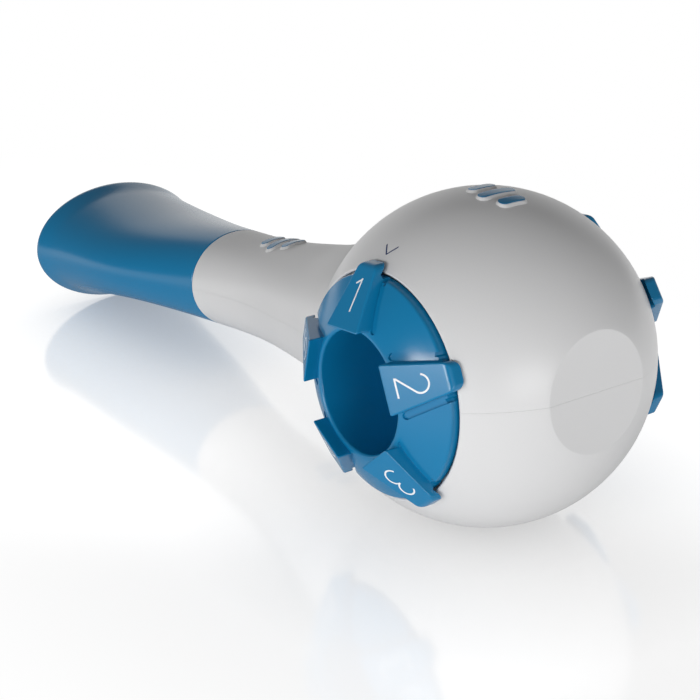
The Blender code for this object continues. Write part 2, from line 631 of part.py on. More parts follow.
def make_grid(name, rim_bore, port, white):
    """A spoked disc in the cup's inner end, with a hub that guides the valve's stem."""
    low = GRID_TOP - GRID_THICKNESS
    hub_bore = STEM_RADIUS + FIT
    hub_radius = hub_bore + HUB_WALL
    rim = turned(
        name, [(rim_bore, low), (GRID_RADIUS, low), (GRID_RADIUS, GRID_TOP), (rim_bore, GRID_TOP)], PORT_SEGMENTS
    )
    hub = turned("hub", [(hub_bore, low), (hub_radius, low), (hub_radius, GRID_TOP), (hub_bore, GRID_TOP)], 20)
    spokes = []
    for k in range(SPOKE_COUNT):
        spoke = box(
            f"spoke_{k}",
            (-SPOKE_WIDTH / 2, (hub_bore + hub_radius) / 2, low),
            (SPOKE_WIDTH / 2, (rim_bore + GRID_RADIUS) / 2, GRID_TOP),
        )
        spoke.matrix_world = Matrix.Rotation(math.tau * (k + 0.5) / SPOKE_COUNT, 4, "Z")
        spokes.append(spoke)
    combine(rim, [hub] + spokes, "UNION")
    rim.data.materials.clear()
    rim.data.materials.append(white)
    rim.parent = port
    return rim


def make_valve(side, low, port, silicone):
    """A soft disc on a stem. It closes one way and is lifted off its seat by air from the other."""
    profile = [
        (0.0, low - STEM_LENGTH),
        (STEM_RADIUS, low - STEM_LENGTH),
        (STEM_RADIUS, low),
        (VALVE_RADIUS, low),
        (VALVE_RADIUS, low + VALVE_THICKNESS),
        (0.0, low + VALVE_THICKNESS),
    ]
    return turned(f"{side}_valve_disc", profile, INSIDE_SEGMENTS, port, silicone)


def make_port(side, settings, extra_height, stand, finishes):
    """One side's port. Heights run out along the empty's Z, and its Y is the device's up."""
    port = make_empty(f"{side}_port", stand)
    port.matrix_world = PORT_TURNS[side]
    bpy.context.view_layer.update()
    make_dial(side, settings, extra_height, port, finishes["blue"])
    make_seal(side, port, finishes["rubber"])
    make_cup(side, port, finishes["white"])
    make_click_spring(side, port, finishes["steel"])
    if side == "exhale":
        make_grid("exhale_valve_seat", VALVE_RADIUS - SEAT_OVERLAP, port, finishes["white"])
        make_valve(side, GRID_TOP + FIT, port, finishes["silicone"])
    else:
        make_grid("inhale_valve_cage", GRID_RADIUS - CAGE_RIM_WALL, port, finishes["white"])
        make_valve(side, CUP_FLOOR_BOTTOM - FIT - VALVE_THICKNESS, port, finishes["silicone"])


def lowest_side(points):
    """The lower outline of points seen from the side, left to right."""
    outline = []
    for point in sorted(points):
        while len(outline) > 1:
            (x0, z0), (x1, z1) = outline[-2:]
            if (x1 - x0) * (point[1] - z0) > (point[0] - x0) * (z1 - z0):
                break
            outline.pop()
        outline.append(point)
    return outline


def set_down(stand):
    """Tips the device onto its lower side, and brings the middle of its footprint to the origin."""
    bpy.context.view_layer.update()
    meshes = [obj for obj in bpy.data.objects if obj.type == "MESH"]
    points = [obj.matrix_world @ vertex.co for obj in meshes for vertex in obj.data.vertices]
    outline = lowest_side([(round(p.x, 7), round(p.z, 7)) for p in points])
    under = next(k for k in range(1, len(outline)) if outline[k][0] > -BALL_RADIUS)
    (x0, z0), (x1, z1) = outline[under - 1], outline[under]
    tip = Matrix.Rotation(math.atan2(z1 - z0, x1 - x0), 4, "Y")
    turned_points = [tip @ point for point in points]
    low = [min(point[k] for point in turned_points) for k in range(3)]
    high = [max(point[k] for point in turned_points) for k in range(3)]
    stand.matrix_world = Matrix.Translation((-(low[0] + high[0]) / 2, -(low[1] + high[1]) / 2, -low[2])) @ tip


PORT_TURNS = {
    "exhale": Matrix.Rotation(math.radians(90), 4, "X"),
    "inhale": Matrix.Rotation(math.radians(180), 4, "Z") @ Matrix.Rotation(math.radians(90), 4, "X"),
}


def main():
    clear_scene()
    finishes = {
        "white": make_material("pearl_white", (0.62, 0.62, 0.63), 0.32),
        "blue": make_material("clinical_blue", (0.010, 0.170, 0.350), 0.34),
        "rubber": make_material("seal_rubber", (0.03, 0.03, 0.03), 0.7),
        "silicone": make_material("clear_silicone", (0.80, 0.82, 0.84), 0.45),
        "steel": make_material("spring_steel", (0.60, 0.60, 0.62), 0.3, 1.0),
    }
    stand = make_empty("stand")
    make_shells(stand, finishes["white"])
    make_mouthpiece(stand, finishes["blue"])
    make_grip_caps(stand, finishes["blue"])
    make_port("exhale", EXHALE_SETTINGS, 0.0, stand, finishes)
    make_port("inhale", INHALE_SETTINGS, INHALE_TAB_EXTRA_HEIGHT, stand, finishes)
    set_down(stand)


main()
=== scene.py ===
import json
import math

import bpy
from mathutils import Matrix, Vector


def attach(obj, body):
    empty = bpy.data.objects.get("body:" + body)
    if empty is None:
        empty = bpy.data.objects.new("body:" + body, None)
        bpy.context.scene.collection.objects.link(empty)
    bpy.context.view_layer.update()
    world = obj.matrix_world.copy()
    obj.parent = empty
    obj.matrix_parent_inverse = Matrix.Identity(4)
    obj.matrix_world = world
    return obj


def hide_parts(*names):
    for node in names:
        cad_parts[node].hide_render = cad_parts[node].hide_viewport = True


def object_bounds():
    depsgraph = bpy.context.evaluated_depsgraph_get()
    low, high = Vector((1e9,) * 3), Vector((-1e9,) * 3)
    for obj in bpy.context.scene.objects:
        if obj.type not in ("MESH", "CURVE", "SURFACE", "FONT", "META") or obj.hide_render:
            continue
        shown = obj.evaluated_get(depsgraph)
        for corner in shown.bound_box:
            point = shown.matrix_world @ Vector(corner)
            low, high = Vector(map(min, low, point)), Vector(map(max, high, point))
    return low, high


# A breathing trainer. Pieces are modelled in millimetres along their own straight axis, with the ball's
# centre at the origin and the mouthpiece towards -X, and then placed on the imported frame.
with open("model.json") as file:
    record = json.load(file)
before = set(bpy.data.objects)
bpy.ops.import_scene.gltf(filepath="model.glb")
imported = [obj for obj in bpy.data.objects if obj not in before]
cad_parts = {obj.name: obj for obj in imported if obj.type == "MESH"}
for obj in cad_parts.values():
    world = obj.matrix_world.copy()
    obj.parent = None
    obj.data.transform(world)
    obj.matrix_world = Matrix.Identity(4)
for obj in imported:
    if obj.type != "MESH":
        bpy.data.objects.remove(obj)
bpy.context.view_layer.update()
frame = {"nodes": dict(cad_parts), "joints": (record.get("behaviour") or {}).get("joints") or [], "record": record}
millimetre = 0.001


def activate(obj):
    bpy.ops.object.select_all(action="DESELECT")
    obj.select_set(True)
    bpy.context.view_layer.objects.active = obj


def startEdit(obj):
    activate(obj)
    bpy.ops.object.mode_set(mode="EDIT")
    bpy.ops.mesh.select_all(action="SELECT")


def endEdit():
    bpy.ops.object.mode_set(mode="OBJECT")


def shapeWith(obj, kind, **settings):
    activate(obj)
    modifier = obj.modifiers.new(kind.lower(), kind)
    for key, value in settings.items():
        setattr(modifier, key, value)
    bpy.ops.object.modifier_apply(modifier=modifier.name)


def combine(obj, tools, operation):
    for tool in tools:
        shapeWith(obj, "BOOLEAN", operation=operation, solver="EXACT", object=tool)
        bpy.data.objects.remove(tool)
    return obj


def copyOf(obj, name):
    copy = obj.copy()
    copy.data = obj.data.copy()
    copy.name = copy.data.name = name
    bpy.context.scene.collection.objects.link(copy)
    return copy


def joinAll(objs, name):
    bpy.ops.object.select_all(action="DESELECT")
    for obj in objs:
        obj.select_set(True)
    bpy.context.view_layer.objects.active = objs[0]
    bpy.ops.object.join()
    objs[0].name = objs[0].data.name = name
    return objs[0]


# In edit mode: joins points that meet and turns every face outwards
def closeUp(distance=0.0005):
    bpy.ops.mesh.select_all(action="SELECT")
    bpy.ops.mesh.remove_doubles(threshold=distance)
    bpy.ops.mesh.normals_make_consistent(inside=False)


def mirrorBelow(obj):
    obj.data.transform(Matrix.Scale(-1.0, 4, (0.0, 0.0, 1.0)))
    startEdit(obj)
    closeUp()
    endEdit()


def alongX(obj):
    obj.data.transform(Matrix.Rotation(math.radians(90), 4, "Y"))
    return obj


def boxBetween(name, low, high):
    bpy.ops.mesh.primitive_cube_add(size=1.0)
    obj = bpy.context.object
    obj.name = obj.data.name = name
    size = [b - a for a, b in zip(low, high)]
    middle = [(a + b) / 2 for a, b in zip(low, high)]
    obj.data.transform(Matrix.Translation(middle) @ Matrix.Diagonal((*size, 1.0)))
    return obj


def evenly(start, end, count):
    return [start + (end - start) * k / count for k in range(count)]


quarterTurn = [math.pi / 8 * k for k in range(5)]


# Points on an arc about a centre, with angles in degrees
def arc(centre, radius, start, end, count):
    angles = [math.radians(start + (end - start) * k / count) for k in range(count + 1)]
    return [(centre[0] + radius * math.cos(a), centre[1] + radius * math.sin(a)) for a in angles]


# A skin through ovals that follow each other along Z. Each station is (height, half size in X, in Y)
def stackRings(name, stations, count, hollow=False):
    height, width, depth = stations[0]
    bpy.ops.mesh.primitive_circle_add(vertices=count, radius=1.0, fill_type="NOTHING" if hollow else "NGON")
    obj = bpy.context.object
    obj.name = obj.data.name = name
    obj.data.transform(Matrix.Rotation(math.pi / count, 4, "Z"))
    startEdit(obj)
    bpy.ops.transform.resize(value=(width, depth, 1.0), center_override=(0.0, 0.0, 0.0))
    bpy.ops.transform.translate(value=(0.0, 0.0, height))
    for newHeight, newWidth, newDepth in stations[1:]:
        bpy.ops.mesh.extrude_edges_move(TRANSFORM_OT_translate={"value": (0.0, 0.0, newHeight - height)})
        bpy.ops.transform.resize(
            value=(newWidth / width, newDepth / depth, 1.0), center_override=(0.0, 0.0, newHeight)
        )
        height, width, depth = newHeight, newWidth, newDepth
    if not hollow:
        bpy.ops.mesh.edge_face_add()
    closeUp()
    endEdit()
    return obj


# The same for round pieces, from points of (radius, height)
def turnedRing(name, profile, count, hollow=True):
    return stackRings(name, [(height, radius, radius) for radius, height in profile], count, hollow)


bar = {"facesAcross": 6, "facesAlong": 28, "tipWidth": 0.08, "thickness": 1.0}


# A bar with round ends whose top and bottom follow a surface. It lies across X, or turned from there
def surfaceBar(name, surface, place, halfLength, halfWidth, low, high, flare=1.0, turn=0.0):
    bpy.ops.mesh.primitive_grid_add(
        x_subdivisions=bar["facesAcross"], y_subdivisions=bar["facesAlong"], size=2.0
    )
    obj = bpy.context.object
    obj.name = obj.data.name = name
    straight = halfLength - halfWidth
    spin = Matrix.Rotation(turn, 2)
    for vertex in obj.data.vertices:
        along = halfLength * math.sin(vertex.co.y * math.pi / 2)
        past = max(abs(along) - straight, 0.0)
        across = max(math.sqrt(max(halfWidth**2 - past**2, 0.0)), bar["tipWidth"] * halfWidth)
        x, y = spin @ Vector((vertex.co.x * across, along))
        vertex.co = (x, y, 0.0)
    startEdit(obj)
    bpy.ops.mesh.extrude_region_move(TRANSFORM_OT_translate={"value": (0.0, 0.0, -bar["thickness"])})
    spread = 1.0 + (flare - 1.0) * halfWidth / halfLength  # wider at the foot by the same amount all round
    bpy.ops.transform.resize(value=(flare, spread, 1.0), center_override=(0.0, 0.0, 0.0))
    closeUp()
    endEdit()
    for vertex in obj.data.vertices:
        x, y = place[0] + vertex.co.x, place[1] + vertex.co.y
        rise = high if vertex.co.z > -bar["thickness"] / 2 else low
        vertex.co = (x, y, surface(x, y) + rise)
    return obj


# The joints and the mount tell where the ball's centre is and how far the whole is tipped
joints = {joint["name"]: joint for joint in frame["joints"]}
centre = Vector(joints["exhale_dial_turn"]["pos_m"])
endAxis = Vector(frame["record"]["mounts"][0]["axis"])
tilt = math.atan2(endAxis.z, endAxis.x)
rest = Matrix.Translation(centre) @ Matrix.Rotation(-tilt, 4, "Y") @ Matrix.Scale(millimetre, 4)
portTurns = {
    "exhale": Matrix.Rotation(math.radians(90), 4, "X"),
    "inhale": Matrix.Rotation(math.radians(180), 4, "Z") @ Matrix.Rotation(math.radians(90), 4, "X"),
}
smoothUpTo = 30.0  # degrees between faces


def place(obj, body, material, slotName, nodes=()):
    obj.data.transform(rest)
    obj.data.materials.clear()
    obj.data.materials.append(material)
    activate(obj)
    bpy.ops.object.shade_smooth_by_angle(angle=math.radians(smoothUpTo))
    shapeWith(obj, "WEIGHTED_NORMAL", keep_sharp=True, weight=50)
    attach(obj, body)
    if nodes:
        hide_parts(*nodes)


grain = {
    "slow": {"Scale": 38.0, "Detail": 3.0, "Roughness": 0.55}, "fine": {"Detail": 2.0, "Roughness": 0.6},
    "glossSpread": 0.04, "bump": {"Strength": 0.06, "Distance": 0.00003},
}
finishValues = {
    # name, colour, roughness, scale of the fine grain, how far the tone varies
    "pearl": ("pearl_plastic", (0.70, 0.70, 0.705), 0.34, 5200.0, 0.02),
    "blue": ("blue_plastic", (0.003, 0.19, 0.40), 0.22, 3800.0, 0.02),
    "print": ("white_print", (0.84, 0.86, 0.88), 0.45, 6000.0, 0.01),
    "navy": ("navy_print", (0.014, 0.032, 0.125), 0.45, 6000.0, 0.02),
    "rubber": ("black_rubber", (0.022, 0.022, 0.023), 0.62, 2600.0, 0.05),
    "silicone": ("soft_silicone", (0.78, 0.80, 0.82), 0.42, 2200.0, 0.02),
    "steel": ("spring_steel", (0.58, 0.58, 0.60), 0.26, 4200.0, 0.04),
}
finishExtras = {"silicone": {"subsurface": 0.3}, "steel": {"metallic": 1.0}}


def addNode(material, kind, **values):
    node = material.node_tree.nodes.new(kind)
    for key, value in values.items():
        if key in node.inputs:
            node.inputs[key].default_value = value
        else:
            setattr(node, key, value)
    return node


def addRange(material, source, start, end, low, high, interpolation="LINEAR"):
    node = addNode(material, "ShaderNodeMapRange", interpolation_type=interpolation)
    for key, value in (("From Min", start), ("From Max", end), ("To Min", low), ("To Max", high)):
        node.inputs[key].default_value = value
    material.node_tree.links.new(source, node.inputs["Value"])
    return node.outputs["Result"]


def addMath(material, operation, *sources):
    node = addNode(material, "ShaderNodeMath", operation=operation)
    for k, source in enumerate(sources):
        material.node_tree.links.new(source, node.inputs[k])
    return node.outputs["Value"]


# A moulded surface: a fine grain in its height, and slow changes in its tone and gloss
def makePlastic(name, colour, roughness, fineScale, spread, metallic=0.0, subsurface=0.0):
    material = bpy.data.materials.new(name)
    material.use_nodes = True
    links = material.node_tree.links
    shader = material.node_tree.nodes["Principled BSDF"]
    shader.inputs["Metallic"].default_value = metallic
    shader.inputs["Subsurface Weight"].default_value = subsurface
    shader.inputs["Subsurface Radius"].default_value = (1.0, 1.0, 1.0)
    shader.inputs["Subsurface Scale"].default_value = millimetre
    coordinates = addNode(material, "ShaderNodeTexCoord")
    slow = addNode(material, "ShaderNodeTexNoise", **grain["slow"])
    fine = addNode(material, "ShaderNodeTexNoise", Scale=fineScale, **grain["fine"])
    for noise in (slow, fine):
        links.new(coordinates.outputs["Object"], noise.inputs["Vector"])
    tones = [
        addRange(material, noise.outputs["Fac"], 0.0, 1.0, 1.0 - spread, 1.0 + spread) for noise in (slow, fine)
    ]
    shade = addNode(material, "ShaderNodeVectorMath", operation="SCALE")
    shade.inputs[0].default_value = colour
    links.new(addMath(material, "MULTIPLY", *tones), shade.inputs["Scale"])
    links.new(shade.outputs["Vector"], shader.inputs["Base Color"])
    glossy, dull = roughness - grain["glossSpread"], roughness + grain["glossSpread"]
    links.new(addRange(material, slow.outputs["Fac"], 0.0, 1.0, glossy, dull), shader.inputs["Roughness"])
    bump = addNode(material, "ShaderNodeBump", **grain["bump"])
    links.new(fine.outputs["Fac"], bump.inputs["Height"])
    links.new(bump.outputs["Normal"], shader.inputs["Normal"])
    return material


finishes = {key: makePlastic(*values, **finishExtras.get(key, {})) for key, values in finishValues.items()}
print("finishes made")


ball = {
    "radius": 28.5, "wall": 2.0, "flatRadius": 9.9, "flatRound": 0.12, "rootFillet": 2.5, "seam": 0.02,
    "firstRing": 0.955, "facets": 128, "rings": 84, "neckRings": 70,
    "insideFacets": 64, "insideRings": 30, "neckInsideRings": 12,
}
oval = {
    # x, half width, half height
    "lip": (-132.0, 20.4, 13.2),
    "flare": (-125.4, 19.2, 11.5),
    "throat": (-104.0, 16.9, 9.5),
    "joint": (-77.0, 11.5, 9.9),
    "waist": (-60.0, 10.2, 10.4),
    "shoulder": (-42.0, 12.3, 12.3),
    "root": (-28.5, 14.5, 14.7),
    "inside": (-14.25, 14.5, 14.7),
}
spigot = {
    "end": -89.0, "width": 9.5, "height": 7.5, "wall": 1.6, "round": 0.35, "neckRound": 0.22,
    "cutPast": 1.0, "borePast": 2.0,  # the bore starts before its end and reaches into the neck
}
port = {
    "opening": 18.8, "edgeRound": 0.28, "ledgeBore": 17.5, "ledgeLow": 18.3, "ledgeHigh": 19.5,
    "ribBore": 17.35, "ribLow": 15.1, "ribHigh": 16.3, "cutterWiden": 1.5, "cutterRise": 0.8, "cutterEnd": 34.0,
    "overlap": 0.1, "ringFacets": 96, "facets": 128,
}


# Half width and half height of the mouthpiece and neck at x, on a smooth curve through the stations
def ovalAt(x):
    stations = list(oval.values())
    last = len(stations) - 1
    k = next((i for i in range(last) if x <= stations[i + 1][0]), last - 1)
    step = stations[k + 1][0] - stations[k][0]
    u = (x - stations[k][0]) / step
    sizes = []
    for axis in (1, 2):
        near, far = stations[k][axis], stations[k + 1][axis]
        slopes = []
        for i in (k, k + 1):
            low, high = stations[max(i - 1, 0)], stations[min(i + 1, last)]
            slopes.append((high[axis] - low[axis]) / (high[0] - low[0]) * step)
        rise = 3 * (far - near) - 2 * slopes[0] - slopes[1]
        bend = 2 * (near - far) + slopes[0] + slopes[1]
        sizes.append(near + slopes[0] * u + rise * u**2 + bend * u**3)
    return sizes


# The ball and neck at x: (x, half height, half width), with a fillet where they meet
def bodyStation(x, radius, wall=0.0):
    circle = math.sqrt(max(radius**2 - x**2, 0.0))
    if x > -radius / 2:
        return x, circle, circle
    fillet = ball["rootFillet"]
    sizes = []
    for size in reversed(ovalAt(x)):
        overlap = max(fillet - abs(size - wall - circle), 0.0) / fillet
        sizes.append(max(size - wall, circle) + overlap**2 * fillet / 4)
    return (x, *sizes)


def ballStations(radius, endRadius, count):
    first, last = math.acos(ball["firstRing"]), math.pi - math.asin(endRadius / radius)
    return [-radius * math.cos(first + (last - first) * k / count) for k in range(count + 1)]


# From the spigot's end along the neck to the flat on the ball
def outerBody():
    joint, lip = oval["joint"][0], spigot["round"]
    stations = []
    for forward, inset in ((0.0, 1.0), (0.3, 0.3), (1.0, 0.0)):
        x = spigot["end"] + lip * forward
        stations.append((x, spigot["height"] - lip * inset, spigot["width"] - lip * inset))
    stations.append((joint, spigot["height"], spigot["width"]))
    width, height = ovalAt(joint)
    edge = spigot["neckRound"]
    for angle in quarterTurn:
        inset = edge * (1 - math.sin(angle))
        stations.append((joint + edge * (1 - math.cos(angle)), height - inset, width - inset))
    soft = ball["flatRound"]
    turns = ballStations(ball["radius"], ball["flatRadius"] + soft, ball["rings"])
    for x in evenly(joint + edge * 1.6, turns[0], ball["neckRings"]) + turns:
        stations.append(bodyStation(x, ball["radius"]))
    flat = math.sqrt(ball["radius"] ** 2 - ball["flatRadius"] ** 2)
    for back, inset in ((0.08, 0.1), (0.0, 1.0)):
        radius = ball["flatRadius"] - soft * inset
        stations.append((flat - soft * back, radius, radius))
    return alongX(stackRings("outer_body", stations, ball["facets"]))


# The air space inside
def bodyHollow():
    bore = (spigot["height"] - spigot["wall"], spigot["width"] - spigot["wall"])
    stations = [(spigot["end"] - spigot["cutPast"], *bore), (oval["joint"][0] + spigot["borePast"], *bore)]
    inner = ball["radius"] - ball["wall"]
    flat = math.sqrt(ball["radius"] ** 2 - ball["flatRadius"] ** 2) - ball["wall"]
    turns = ballStations(inner, math.sqrt(inner**2 - flat**2), ball["insideRings"])
    for x in evenly(oval["waist"][0], turns[0], ball["neckInsideRings"]) + turns:
        stations.append(bodyStation(x, inner, ball["wall"]))
    hollow = alongX(stackRings("body_hollow", stations, ball["insideFacets"]))
    rings = []  # ledges and ribs of the wall that stay around each port
    outside = ball["radius"]
    for turn in portTurns.values():
        for bore, low, high in (
            (port["ledgeBore"], port["ledgeLow"], port["ledgeHigh"] + port["overlap"]),
            (port["ribBore"], port["ribLow"], port["ribHigh"]),
        ):
            profile = [(bore, low), (outside, low), (outside, high), (bore, high), (bore, low)]
            ring = turnedRing("ring", profile, port["ringFacets"])
            ring.data.transform(turn)
            rings.append(ring)
    return combine(hollow, rings, "DIFFERENCE")


# The round opening of a port, with its rounded edge where it meets the ball
def portCutter(turn):
    radius, soft = port["opening"], port["edgeRound"]
    edgeHeight = math.sqrt((ball["radius"] - soft) ** 2 - (radius + soft) ** 2)
    steep = math.degrees(math.atan2(edgeHeight, radius + soft))
    profile = [(radius, port["ledgeHigh"])] + arc((radius + soft, edgeHeight), soft, 180, steep, 5)
    wide = profile[-1][0] + port["cutterWiden"]
    profile += [(wide, profile[-1][1] + port["cutterRise"]), (wide, port["cutterEnd"])]
    cutter = turnedRing("opening", profile, port["facets"], hollow=False)
    cutter.data.transform(turn)
    return cutter


grip = {
    "halfLengths": (2.6, 3.7, 2.6), "pitch": 3.6, "plinthHalf": 1.06, "plinthLonger": 0.05, "plinthTop": 0.42,
    "root": 0.6, "flare": 1.5, "capHalf": 0.91, "capShorter": 0.04, "capLow": 0.425, "capTop": 0.495,
    "capRound": 0.03, "capSteps": 3, "sharpFrom": 50.0,
    "ballPlace": (4.5, 0.0), "topPlace": (-58.4, -0.8), "bottomPlace": (-43.6, 0.0),
}


def ballSurface(x, y):
    return math.sqrt(ball["radius"] ** 2 - x**2 - y**2)


def neckSurface(x, y):
    width, height = ovalAt(x)
    return height * math.sqrt(1.0 - (y / width) ** 2)


gripSets = {
    "upper": (("ball_grip", ballSurface, grip["ballPlace"]), ("neck_grip_top", neckSurface, grip["topPlace"])),
    "lower": (("neck_grip_bottom", neckSurface, grip["bottomPlace"]),),
}


# Name, surface, place and half length of each grip bar on a shell
def gripBars(side):
    bars = []
    for name, surface, (x, y) in gripSets[side]:
        for k, halfLength in enumerate(grip["halfLengths"]):
            bars.append((f"{name}_{k + 1}", surface, (x + grip["pitch"] * (k - 1), y), halfLength))
    return bars


halfBox = (150.0, 60.0)  # reaches past the whole body


def makeShells():
    body = outerBody()
    space = combine(bodyHollow(), [portCutter(turn) for turn in portTurns.values()], "UNION")
    length, height = halfBox
    for side in ("upper", "lower"):
        shell = copyOf(body, f"{side}_shell_skin")
        half = boxBetween("half", (-length, -height, ball["seam"] / 2), (length, height, height))
        plinths = [
            surfaceBar(
                "plinth", surface, spot, halfLength + grip["plinthLonger"], grip["plinthHalf"], -grip["root"],
                grip["plinthTop"], grip["flare"],
            )
            for _, surface, spot, halfLength in gripBars(side)
        ]
        if side == "lower":
            for tool in [half] + plinths:
                mirrorBelow(tool)
        combine(shell, [half], "INTERSECT")
        combine(shell, [copyOf(space, "space")], "DIFFERENCE")
        combine(shell, plinths, "UNION")
        place(shell, "body", finishes["pearl"], "pearl_white", [f"{side}_shell"])
    for spare in (body, space):
        bpy.data.objects.remove(spare)


def makeGripCaps():
    for side in gripSets:
        for name, surface, spot, halfLength in gripBars(side):
            cap = surfaceBar(
                f"{name}_skin", surface, spot, halfLength - grip["capShorter"], grip["capHalf"], grip["capLow"],
                grip["capTop"],
            )
            shapeWith(
                cap, "BEVEL", width=grip["capRound"], segments=grip["capSteps"], limit_method="ANGLE",
                angle_limit=math.radians(grip["sharpFrom"]),
            )
            if side == "lower":
                mirrorBelow(cap)
            place(cap, "body", finishes["blue"], "clinical_blue", [name])


makeShells()
print("shells made")
makeGripCaps()
print("grips made")


mouthpiece = {
    "wall": 1.6, "gap": 0.12, "edgeRound": 0.2, "lipRound": 1.5, "socketFit": 0.3, "airwayStart": -91.0,
    "socketLead": 0.5, "facets": 112, "outsideRings": 64, "lipRings": 12, "insideRings": 44,
}


# Once round the section: the outside, the lip, the airway and the socket over the spigot
def makeMouthpiece():
    start = oval["joint"][0] - mouthpiece["gap"]
    lipX = oval["lip"][0]
    edge, lipRound, wall = mouthpiece["edgeRound"], mouthpiece["lipRound"], mouthpiece["wall"]
    stations = []

    def add(x, inset):
        width, height = ovalAt(max(x, lipX))
        stations.append((x, height - inset, width - inset))

    for angle in quarterTurn:
        add(start - edge * (1 - math.cos(angle)), edge * (1 - math.sin(angle)))
    for x in evenly(start - edge * 2, lipX + lipRound * 1.4, mouthpiece["outsideRings"]):
        add(x, 0.0)
    for angle in (math.pi * k / mouthpiece["lipRings"] for k in range(mouthpiece["lipRings"] + 1)):
        add(lipX + lipRound - lipRound * math.sin(angle), (wall / 2) * (1 - math.cos(angle)))
    end = mouthpiece["airwayStart"]
    for x in evenly(lipX + lipRound * 1.6, end, mouthpiece["insideRings"]) + [end]:
        add(x, wall)
    fit = mouthpiece["socketFit"]
    socketEnd = spigot["end"] - fit
    for x, wider in ((socketEnd - mouthpiece["socketLead"], -fit), (socketEnd, fit), (start, fit)):
        stations.append((x, spigot["height"] + wider, spigot["width"] + wider))
    stations.append(stations[0])
    piece = alongX(stackRings("mouthpiece_skin", stations, mouthpiece["facets"], hollow=True))
    place(piece, "body", finishes["blue"], "clinical_blue", ["mouthpiece"])


makeMouthpiece()
print("mouthpiece made")


# Heights are measured out from the ball's centre along the port's axis
dial = {
    "rim": 18.4, "rimHeight": 22.2, "rimDepth": 1.8, "rimRound": 0.55, "rimFoot": 0.2, "capWall": 1.6,
    "faceRadius": 31.0, "faceStart": 0.6, "faceRings": 14, "sinkFrom": 21.15, "bore": 10.2, "boreRound": 0.5,
    "floorLow": 9.0, "floorHigh": 10.4, "floorRound": 0.5, "tube": 11.6, "skirtBore": 14.15, "skirt": 15.35,
    "skirtEnd": 19.2, "sealGroove": 10.9, "sealGrooveLow": 13.45, "sealGrooveHigh": 14.55,
    "axisRadius": 0.02, "facets": 180,
}
sides = {
    # settings, how much taller the tabs stand, how deep the face sits
    "exhale": {"settings": 5, "extraHeight": 0.0, "sink": 0.0},
    "inhale": {"settings": 6, "extraHeight": 0.4, "sink": 0.3},
}


def faceHeight(radius, drop=0.0):
    middle = dial["rimHeight"] - math.sqrt(dial["faceRadius"] ** 2 - dial["rim"] ** 2)
    return middle + math.sqrt((dial["faceRadius"] - drop) ** 2 - radius**2)


# Angle in degrees of the face's outward direction at a radius, from the plane of the dial
def faceSlope(radius, drop):
    return math.degrees(math.acos(radius / (dial["faceRadius"] - drop)))


def dialProfile(sink):
    axis, bore, rim, tube = dial["axisRadius"], dial["bore"], dial["rim"], dial["tube"]
    soft, edge, under, foot = dial["boreRound"], dial["rimRound"], dial["capWall"], dial["rimFoot"]
    low, high, corner = dial["floorLow"], dial["floorHigh"], dial["floorRound"]
    rimEnd = dial["rimHeight"] - dial["rimDepth"]
    # the floor and the bore
    profile = [(axis, high), (bore - corner, high)]
    profile += arc((bore - corner, high + corner), corner, -90, 0, 4)
    # the face and the rim
    profile += arc((bore + soft, faceHeight(bore + soft, soft)), soft, 180, faceSlope(bore + soft, soft), 7)
    radii = evenly(bore + soft + dial["faceStart"], rim - edge, dial["faceRings"])
    profile += [(radius, faceHeight(radius)) for radius in radii]
    profile += arc((rim - edge, faceHeight(rim - edge, edge)), edge, faceSlope(rim - edge, edge), 0, 6)
    profile += [(rim, rimEnd + foot), (rim - foot, rimEnd), (rim - under, rimEnd)]
    # the skirt, and the tube with its seal groove
    profile += [(radius, faceHeight(radius, under)) for radius in (rim - under, dial["skirt"])]
    profile += [(dial["skirt"], dial["skirtEnd"]), (dial["skirtBore"], dial["skirtEnd"])]
    profile += [(radius, faceHeight(radius, under)) for radius in (dial["skirtBore"], tube)]
    profile += [(tube, dial["sealGrooveHigh"]), (dial["sealGroove"], dial["sealGrooveHigh"])]
    profile += [(dial["sealGroove"], dial["sealGrooveLow"]), (tube, dial["sealGrooveLow"])]
    profile += [(tube, low), (axis, low)]
    return [(radius, height - (sink if height > dial["sinkFrom"] else 0.0)) for radius, height in profile]


tab = {
    "inner": 10.9, "innerHeight": 28.75, "outer": 20.4, "slope": 32.2, "innerHalf": 4.05, "outerHalf": 2.2,
    "noseRadius": 1.5, "noseSteps": 10, "endRadius": 1.2, "edgeRound": 0.34, "leastRound": 0.04,
    "root": 0.8, "overBall": 0.5, "facets": 24,
}
taper = (tab["innerHalf"] - tab["outerHalf"]) / (tab["outer"] - tab["inner"])


# A line that falls along the tab and rounds off into its outer end
def roundedEnd(y, endValue, fall, radius):
    middle = tab["outer"] - radius
    if y < middle + radius * math.sin(math.atan(fall)):
        return endValue + fall * (tab["outer"] - y)
    lift = math.sqrt(max(radius**2 - (y - middle) ** 2, 0.0))
    return endValue + fall * radius - radius / math.cos(math.atan(fall)) + lift


